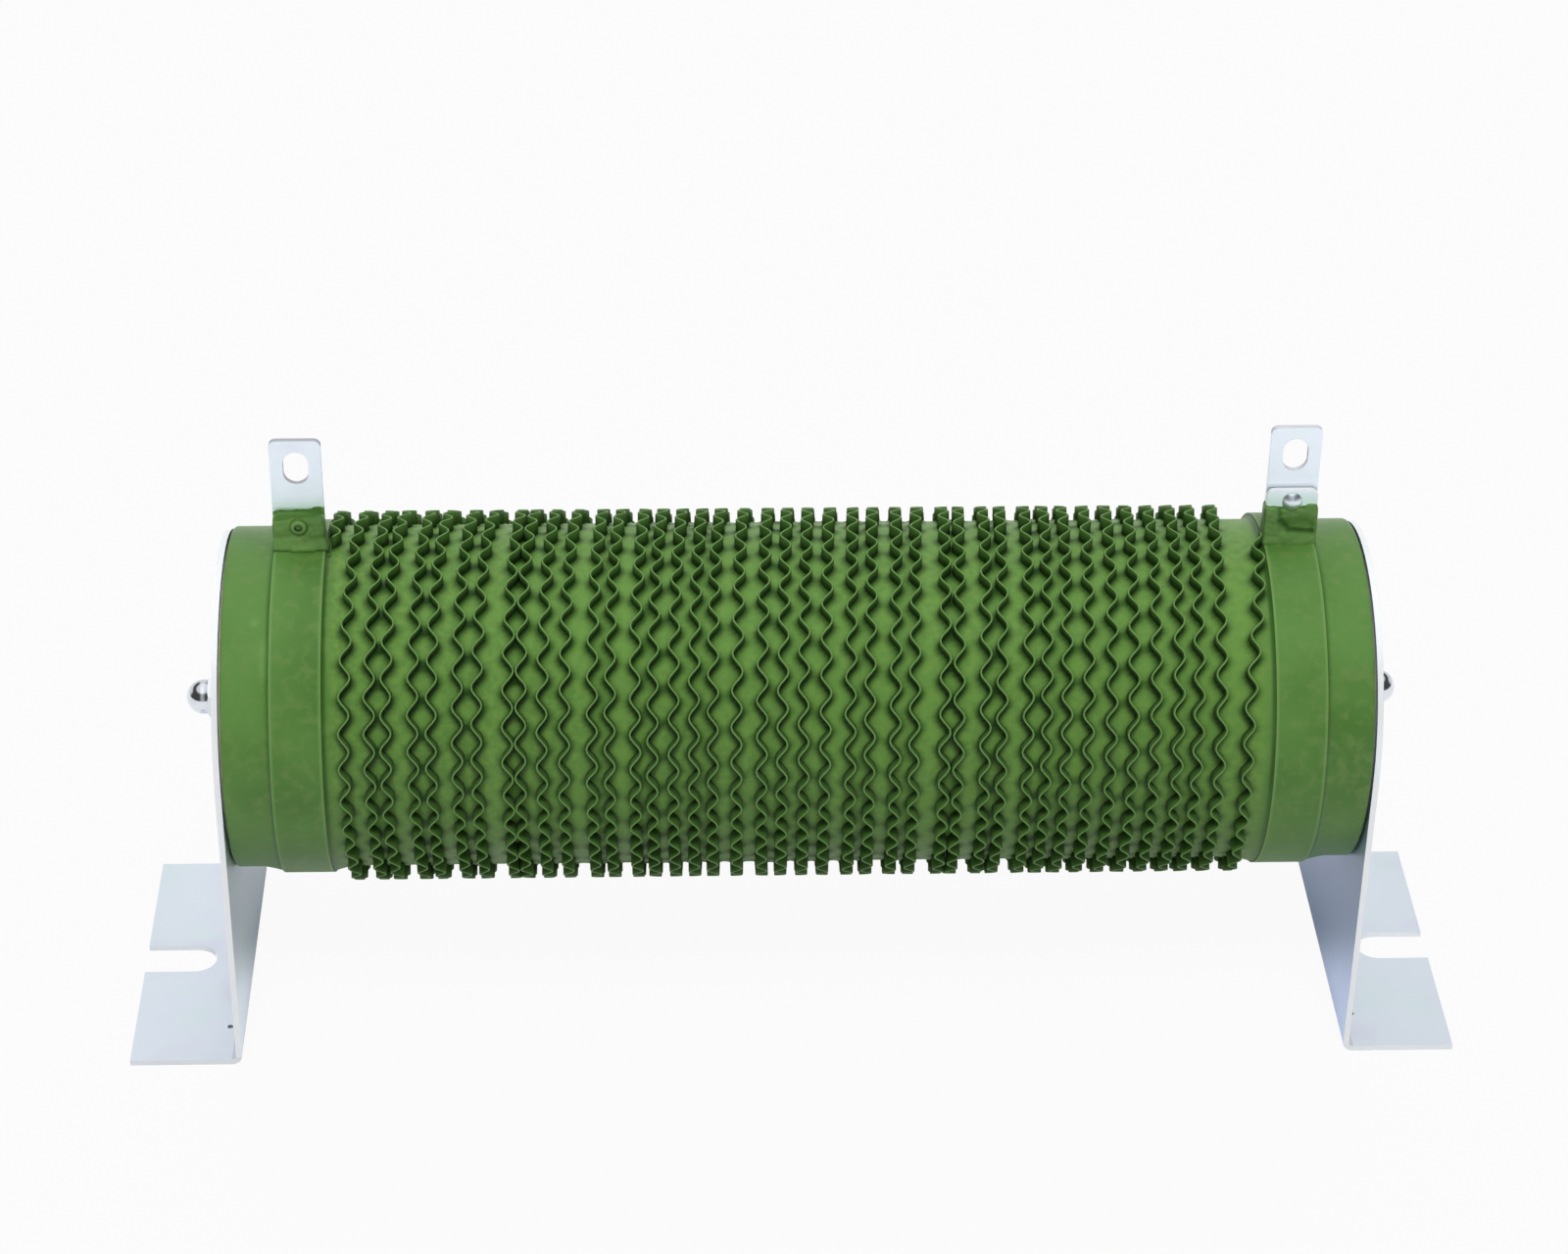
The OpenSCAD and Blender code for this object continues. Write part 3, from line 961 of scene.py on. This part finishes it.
def inner_leg(face):
    """The face of the leg that looks at the tube."""
    to_tube = -face.normal.x * math.copysign(1, face.center.x)
    return to_tube > STRAIGHT_ON and face.center.z > LEG_ZONE * MM


def edge_highlight(face, foot_highlight):
    """How much painted highlight a sheared face gets. The small tool mark beside the bend gets none
    and stays dark.
    """
    in_tool_mark = abs(face.center.y / MM + TOOL_MARK_Y) < TOOL_MARK_HALF
    return leg_rim(face) or foot_highlight * (foot_cut(face) and not in_tool_mark)


print("the flat of a foot ends", LEG_ZONE, "mm up")

# %% Make the feet
SIDES = ("left", "right")
FOOT_ROUND = 0.18
EDGE_HIGHLIGHT = {"left": 0.7, "right": 1.0}
SHADE_AND_BLUE_CAST = {"left": 0.1, "right": 1.0}
SIDE_ON = 0.99


def split_sides(mesh, level_mm):
    """Cuts the front and back faces at a level, so that each part can be marked by itself."""
    bm = bmesh.new()
    bm.from_mesh(mesh)
    sides = [face for face in bm.faces if abs(face.normal.y) > SIDE_ON]
    parts = {edge for face in sides for edge in face.edges}
    parts |= {vert for face in sides for vert in face.verts}
    level = (0, 0, level_mm * MM)
    bmesh.ops.bisect_plane(bm, geom=sides + list(parts), plane_co=level, plane_no=(0, 0, 1))
    bm.to_mesh(mesh)
    bm.free()


for side in SIDES:
    name = side + "_foot"
    mesh = softened(side + "_foot_bracket", name, FOOT_ROUND)
    split_sides(mesh, LEG_ZONE)
    mark_faces(mesh, "cut", foot_cut)
    mark_faces(mesh, "rim", lambda face: edge_highlight(face, EDGE_HIGHLIGHT[side]))
    # The inner face of a leg gets painted shade with a blue tint, far more on the right.
    mark_faces(mesh, "cast", lambda face: SHADE_AND_BLUE_CAST[side] * inner_leg(face))
    weighted(add_piece(name, mesh, zinc_plate, "zinc_plate", side + "_foot_bracket"))

# %% [markdown]
# ## The two bands
# A band is a folded strip: round the tube, with a long end turned up as the lug and a short end
# in front of it. The CAD solid has its bends, so a softened copy is enough. The lug's sheared
# edge is marked because it is chalkier than the flat zinc, and the lip of the short end gets a
# painted highlight.

# %% Make the bands
BAND_ROUND = 0.25
BAND_SEGMENTS = 3
LUG_Z = AXIS_Z + 40
EDGE_ON = 0.4
UPWARD = 0.2


def lug_edge(face):
    """A sheared face of the lug."""
    return face.center.z > LUG_Z * MM and face.center.y > 0 and abs(face.normal.y) < EDGE_ON


def flange_lip(face):
    """The upper edge of the short end in front of the lug, which gets a painted highlight."""
    return face.center.z > LUG_Z * MM and face.center.y < 0 and face.normal.z > UPWARD


for side, graph in zip(SIDES, (left_band_finish, right_band_finish)):
    name = side + "_band"
    mesh = softened(side + "_terminal_band", name, BAND_ROUND, BAND_SEGMENTS)
    mark_faces(mesh, "cut", lug_edge)
    mark_faces(mesh, "rim", flange_lip)
    weighted(add_piece(name, mesh, graph, "coated_band", side + "_terminal_band"))

# %% [markdown]
# ## Nuts, washers and rivets
# The domed nuts and their washers are turned parts, and a round on their edges is all that the
# CAD solids lack. The right rivet is treated alike. It is bare zinc, as if set after the dip.

# %% Small turned pieces
RIVET_ROUND = 0.1
TURNED_PARTS = [
    ("cap_nut", "nut", bright_steel, 0.15),
    ("plain_washer", "washer", plain_steel, 0.12),
]
for side in SIDES:
    for part, short_name, graph, width in TURNED_PARTS:
        node = f"{side}_{part}"
        mesh = softened(node, node, width)
        weighted(add_piece(f"{side}_{short_name}", mesh, graph, "bright_steel", node))
mesh = softened("right_band_rivet", "right_rivet", RIVET_ROUND)
add_piece("right_rivet", mesh, zinc_plate, "zinc_plate", "right_band_rivet")

# %% [markdown]
# The left rivet is a tubular one: its head has a pit, and the coat ran over both. Cutting a hole
# into the copied solid would work, but a turned profile is shorter, because the pit, the rim and
# the dome are then one line that is spun about the rivet's axis.

# %% Profile of the left rivet
rivet_low, rivet_high = box_mm("left_band_rivet")
rivet_middle = (rivet_low + rivet_high) / 2
HEAD_R = (rivet_high.x - rivet_low.x) / 2
HEAD_TOP = (rivet_high.y - rivet_low.y) / 2
HEAD_H = 1.1
HEAD_FOOT = HEAD_TOP - HEAD_H
PIT_R = 0.65
PIT_FLOOR = HEAD_FOOT - 1.8
PIT_PAINTED_SHADOW = -0.7
BACK_STEPS = 6
BACK_PALE = 0.8

# Distance from the axis, distance in front of the middle, and paleness of the coat there: below 0
# a painted shadow in the pit, and 1 a painted highlight on the ring round it
profile = [
    (0.0, PIT_FLOOR, PIT_PAINTED_SHADOW),
    (PIT_R - 0.1, PIT_FLOOR, PIT_PAINTED_SHADOW),
    (PIT_R, HEAD_TOP - 0.3, PIT_PAINTED_SHADOW),
    (PIT_R + 0.12, HEAD_TOP - 0.06, 0.9),
    (PIT_R + 0.3, HEAD_TOP, 1.0),
    (HEAD_R - 0.55, HEAD_TOP - 0.25, 1.0),
    (HEAD_R - 0.15, HEAD_FOOT + 0.4, 0.7),
    (HEAD_R, HEAD_FOOT, 0.5),
]
for k in range(BACK_STEPS, -1, -1):
    turn = k * math.pi / (2 * BACK_STEPS)
    profile.append((HEAD_R * math.sin(turn), -HEAD_FOOT - HEAD_H * math.cos(turn), BACK_PALE))
print("rivet head", round(2 * HEAD_R, 2), "mm across,", len(profile), "points in its profile")

# %% Spin the left rivet
RIVET_STEPS = 40
RIVET_MERGE_MM = 0.005
bm = bmesh.new()
crest = bm.verts.layers.float.new("crest")
line = []
for radius, forward, pale in profile:
    point = bm.verts.new((rivet_middle + Vector((radius, -forward, 0))) * MM)
    point[crest] = pale
    line.append(point)
edges = [bm.edges.new(pair) for pair in zip(line, line[1:])]
bmesh.ops.spin(
    bm, geom=line + edges, cent=rivet_middle * MM, axis=(0, 1, 0), angle=2 * math.pi,
    steps=RIVET_STEPS, use_merge=True,
)
bmesh.ops.remove_doubles(bm, verts=bm.verts, dist=RIVET_MERGE_MM * MM)
bmesh.ops.recalc_face_normals(bm, faces=bm.faces)
mesh = smooth_from(bm, "left_rivet")
add_piece("left_rivet", mesh, ribbon_coat, "coated_band", "left_band_rivet")

# %% [markdown]
# ## Lumps of coat on the lugs
# The coat lies thick on the foot of each lug, with soft steps, seams and a ragged top. A few
# blocks give its rough shape. A voxel remesh then melts them into one skin, which is smoothed and
# pushed in and out by noise. The seams are sunk along lines that are given across and up, and
# painted shade darkens them, while the rest of each lump gets a painted highlight. Modelling
# such a lump by hand would take hundreds of points.

# %% Blocks under one skin
VOXEL = 0.22


def block(bm, centre, low, high):
    """A tapered block between two level rectangles, each given as x, x, y, y, z in mm."""
    corners = []
    for x_low, x_high, y_low, y_high, z in (low, high):
        for x, y in ((x_low, y_low), (x_high, y_low), (x_low, y_high), (x_high, y_high)):
            corners.append(bm.verts.new((centre + Vector((x, y, z))) * MM))
    bmesh.ops.convex_hull(bm, input=corners)


def one_skin(name, centre, blocks):
    """A closed mesh of small even faces round all the blocks."""
    bm = bmesh.new()
    for low, high in blocks:
        block(bm, centre, low, high)
    holder = bpy.data.objects.new(name + "_blocks", smooth_from(bm, name + "_blocks"))
    bpy.context.scene.collection.objects.link(holder)
    remesh = holder.modifiers.new("skin", "REMESH")
    remesh.mode = "VOXEL"
    remesh.voxel_size = VOXEL * MM
    evaluated = holder.evaluated_get(bpy.context.evaluated_depsgraph_get())
    skin = bpy.data.meshes.new_from_object(evaluated)
    bpy.data.objects.remove(holder)
    return skin


print("faces of a skin are about", VOXEL, "mm wide")

# %% Melt the skin
MELT_STEPS = 7
MELT_SHARE = 0.5
SEAM_DEEP = 0.2
LUMP_HIGHLIGHT = 0.35
LUMPS = [(0.45, 0.16), (1.1, 0.07)]


def painted_seam_shade(x, z, seams):
    """How much painted shade a seam puts there. Each runs between two places, across and up, in mm.
    """
    here = Vector((x, z))
    shade = 0.0
    for start, end, strength, width in seams:
        first = Vector(start)
        along = Vector(end) - first
        share = min(max((here - first).dot(along) / along.length_squared, 0.0), 1.0)
        far = (here - first - along * share).length / width
        shade = max(shade, strength * math.exp(-far * far))
    return shade


def lug_coat(name, middle_x, blocks, seams):
    """One soft skin over some blocks on the foot of a lug, with sunk seams darkened by painted
    shade.
    """
    centre = Vector((middle_x, 0, AXIS_Z))
    skin = one_skin(name, centre, blocks)
    bm = bmesh.new()
    bm.from_mesh(skin)
    axes = {"use_axis_x": True, "use_axis_y": True, "use_axis_z": True}
    for _ in range(MELT_STEPS):
        bmesh.ops.smooth_vert(bm, verts=bm.verts, factor=MELT_SHARE, **axes)
    bm.normal_update()
    hollow = bm.verts.layers.float.new("hollow")
    for vert in bm.verts:
        local = vert.co / MM - centre
        shade = painted_seam_shade(local.x, local.z, seams)
        # Painted shade along the seams, and a painted highlight on the rest of the lump.
        vert[hollow] = shade - LUMP_HIGHLIGHT
        lump = sum(noise.noise(vert.co / MM * rate) * deep for rate, deep in LUMPS)
        vert.co += vert.normal * (lump - SEAM_DEEP * shade) * MM
    bm.to_mesh(skin)
    bm.free()
    skin.name = name
    skin.shade_smooth()
    add_piece(name, skin, tube_coat, "green_coat")


print("a seam is", SEAM_DEEP, "mm deep")

# %% Coat on the left lug's foot
blocks = [
    ((-5.4, 5.4, -1.75, 1.6, 36.0), (-5.1, 5.0, -1.7, 1.6, 43.0)),
    ((-5.0, 4.9, -1.7, 1.6, 42.6), (1.5, 4.7, -1.65, 1.6, 44.5)),
    ((-5.5, 5.7, -2.7, 3.8, 35.2), (-5.3, 5.5, -2.4, 3.3, 36.9)),
    ((-5.4, 5.6, -2.5, 3.2, 36.6), (-5.2, 5.3, -1.9, 1.9, 38.8)),
    ((-2.2, 3.6, -3.5, 0.0, 35.0), (-1.4, 3.0, -2.6, 0.0, 37.2)),
    ((2.6, 6.3, -2.6, 1.0, 35.0), (3.0, 5.6, -2.2, 0.6, 38.0)),
]
# Each seam: from, to, how much painted shade, how wide
seams = [
    ((-6.0, 36.1), (6.0, 36.1), 1.3, 0.45),
    ((-5.2, 43.4), (5.0, 44.6), 0.7, 0.6),
    ((1.0, 38.6), (5.0, 39.4), 0.4, 0.6),
]
lug_coat("left_lug_coat", -BAND_MID, blocks, seams)

# %% Coat on the right lug's foot
blocks = [
    ((-5.6, -2.3, -2.3, 1.6, 36.0), (-5.4, -2.5, -1.9, 1.6, 44.5)),
    ((-2.6, 5.5, -1.65, 1.6, 36.0), (-2.6, 5.4, -1.6, 1.6, 44.0)),
    ((2.4, 5.4, -1.65, 1.6, 43.0), (3.0, 5.2, -1.6, 1.6, 45.0)),
    ((-5.6, 5.5, -2.7, 3.6, 35.2), (-5.4, 5.4, -2.4, 3.2, 37.2)),
    ((-5.5, 5.4, -2.5, 3.0, 36.9), (-5.4, 5.3, -2.1, 1.9, 38.6)),
    ((4.4, 5.5, -2.1, 1.6, 36.0), (4.5, 5.4, -1.9, 1.6, 43.0)),
]
seams = [
    ((-2.4, 44.2), (-2.2, 41.5), 0.7, 0.5),
    ((-2.2, 41.5), (-0.2, 39.3), 1.1, 0.7),
    ((-0.2, 39.3), (4.4, 39.0), 1.1, 0.6),
    ((-0.5, 41.0), (4.0, 40.5), 0.4, 1.5),
    ((-6.0, 36.1), (6.0, 36.1), 0.4, 0.35),
]
lug_coat("right_lug_coat", BAND_MID, blocks, seams)

# %% [markdown]
# ## The solids that stay
# The rod is inside the bore, and of the end rings only a thin edge shows. Copies would add
# nothing that can be seen, so these CAD solids stay and only get a finish.


# %% Dress the rod and the end rings
def dress(node, graph):
    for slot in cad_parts[node].material_slots:
        slot.material = graph.owner


dress("through_rod", plain_steel)
for side in SIDES:
    dress(side + "_end_cushion", mica)
print("rod and end rings dressed")

# %% [markdown]
# ## Floor, light and camera
# The object stands on a plain white floor. A white room is easy with a bright world, but then
# everything is lit from all sides and goes flat. Here the camera sees white, while the light comes
# from a bright ceiling in a dim room and from three wide lamps. Mirrors see a white backdrop with
# dark gaps at its sides, the ceiling, and a grey strip in front, because a polished nut without
# any dark looks like chalk.

# %% Where a ray of the room goes
BACKDROP_RANGE = (-0.1, 0.3)
CEILING_RANGE = (0.68, 0.84)
ASIDE_RANGE = (0.2, 0.4)
GAP_RANGE = (0.35, 0.5)
world = bpy.data.worlds.new("white_room")
bpy.context.scene.world = world
room = Graph(world)
toward = room.place("Generated")
height = room.axis(toward, "Z")
behind = room.step(room.axis(toward, "Y"), *BACKDROP_RANGE)
above = room.step(height, *CEILING_RANGE)
aside = room.step(abs(room.axis(toward, "X")), *ASIDE_RANGE)
gap = aside * room.step(height, *GAP_RANGE)
print("the ceiling starts", round(math.degrees(math.asin(CEILING_RANGE[0]))), "degrees up")

# %% What the ray finds there
ROOM_LIGHT = 0.08
CEILING_LIGHT = 0.6
CEILING_MIRRORED = 0.3
FRONT_MIRRORED = 0.5


def ray(graph, kind):
    """1 for rays of that kind, and 0 for the others."""
    return graph.node("ShaderNodeLightPath", out=kind)


light = ROOM_LIGHT + above * CEILING_LIGHT
mirrored = behind * (1 - gap) * (1 - light) + above * CEILING_MIRRORED
mirrored = mirrored + (1 - behind) * (1 - aside) * FRONT_MIRRORED
mirrored = ray(room, "Is Glossy Ray") * mirrored
in_view = (ray(room, "Is Camera Ray") + ray(room, "Is Transmission Ray")) * (1 - light)
backdrop = room.tree.nodes["Background"]
room.join(backdrop.inputs["Color"], (1.0, 1.0, 1.0, 1.0))
room.join(backdrop.inputs["Strength"], light + in_view + mirrored)
print("room light", ROOM_LIGHT, "and ceiling", CEILING_LIGHT)

# %% Finish of the floor
FLOOR_GLOW = 0.94
FLOOR_WHITE = 0.5
MIRRORED_WHITE = 1.22
floor_finish = new_finish("white_floor")
mirrored = ray(floor_finish, "Is Glossy Ray")
# A number in a colour's socket is a grey, which is all that a floor needs
white = FLOOR_WHITE + mirrored * (MIRRORED_WHITE - FLOOR_WHITE)
matt = floor_finish.node("ShaderNodeBsdfDiffuse", None, {"Color": white})
glow = floor_finish.node("ShaderNodeEmission", None, {"Strength": 1.0})
seen = ray(floor_finish, "Is Camera Ray") + ray(floor_finish, "Is Transmission Ray")
both = floor_finish.node("ShaderNodeMixShader", None, {0: seen * FLOOR_GLOW, 1: matt, 2: glow})
floor_finish.join(floor_finish.tree.nodes["Material Output"].inputs["Surface"], both)
print("floor glow", FLOOR_GLOW, "so that a faint shadow is left")

# %% Floor
FLOOR_HALF = 6.0
floor_mesh = bpy.data.meshes.new("white_floor")
corners = [(x * FLOOR_HALF, y * FLOOR_HALF, 0) for x, y in ((-1, -1), (1, -1), (1, 1), (-1, 1))]
floor_mesh.from_pydata(corners, [], [(0, 1, 2, 3)])
floor_mesh.materials.append(floor_finish.owner)
floor = bpy.data.objects.new("white_floor", floor_mesh)
bpy.context.scene.collection.objects.link(floor)
print("floor", 2 * FLOOR_HALF, "m square")

# %% [markdown]
# The lamps are suns, which light every place alike, and wide, for soft shadows. The key is high
# in front. A weak one low in front fills the lower side, and one behind lights the back. They
# are hidden from mirrors, where a lamp would be a hard white spot.


# %% Lamps
def direction(azimuth, elevation):
    """A unit vector from the object. Azimuth 0 is in front, a quarter turn is on the right."""
    flat = math.cos(elevation)
    return Vector((math.sin(azimuth) * flat, -math.cos(azimuth) * flat, math.sin(elevation)))


def soft_sun(name, azimuth, elevation, spread, level):
    """Even light from one side. A white face turned to it gets that level, where 1 is white."""
    lamp = bpy.data.lights.new(name, "SUN")
    lamp.angle = math.radians(spread)
    lamp.energy = math.pi * level
    from_lamp = direction(math.radians(azimuth), math.radians(elevation))
    holder = bpy.data.objects.new(name, lamp)
    holder.location = from_lamp
    holder.rotation_euler = from_lamp.to_track_quat("Z", "Y").to_euler()
    holder.visible_glossy = False
    bpy.context.scene.collection.objects.link(holder)
    print(name, "level", level)


soft_sun("key_lamp", azimuth=0, elevation=60, spread=16, level=0.56)
soft_sun("front_lamp", azimuth=0, elevation=25, spread=40, level=0.12)
soft_sun("back_lamp", azimuth=180, elevation=35, spread=60, level=0.2)

# %% [markdown]
# The camera stands where the photograph was taken: about 33 degrees above the floor, a touch to
# the left and turned by one degree. These come from fitting the tube's and the feet's outlines.
# Blender could aim it with a constraint, but three axes make the small turn plain.

# %% Camera
PHOTO_W = 1600
FOCAL_PX = 3954
CAMERA_RISE = math.radians(32.77)
CAMERA_TURN = math.radians(-2.42)
CAMERA_ROLL = math.radians(0.84)
CAMERA_FAR = 792.8
AIM = Vector((-2.22, 0, AXIS_Z + 15.84))
SENSOR = 36
NEAREST = 0.01

back = direction(CAMERA_TURN, CAMERA_RISE)
level_right = (-back).cross(Vector((0, 0, 1))).normalized()
level_up = level_right.cross(-back)
right = math.cos(CAMERA_ROLL) * level_right + math.sin(CAMERA_ROLL) * level_up
up = math.cos(CAMERA_ROLL) * level_up - math.sin(CAMERA_ROLL) * level_right
lens = bpy.data.cameras.new("photo_camera")
lens.sensor_width = SENSOR
lens.lens = FOCAL_PX / PHOTO_W * SENSOR
lens.clip_start = NEAREST
camera = bpy.data.objects.new("photo_camera", lens)
turned = Matrix((right, up, back)).transposed().to_4x4()
camera.matrix_world = Matrix.Translation((AIM + CAMERA_FAR * back) * MM) @ turned
bpy.context.scene.collection.objects.link(camera)
bpy.context.scene.camera = camera
bpy.context.scene.view_settings.view_transform = "Standard"
print(f"lens {lens.lens:.1f} mm")

# %% [markdown]
# The dressed model has to stay inside the CAD model's box.
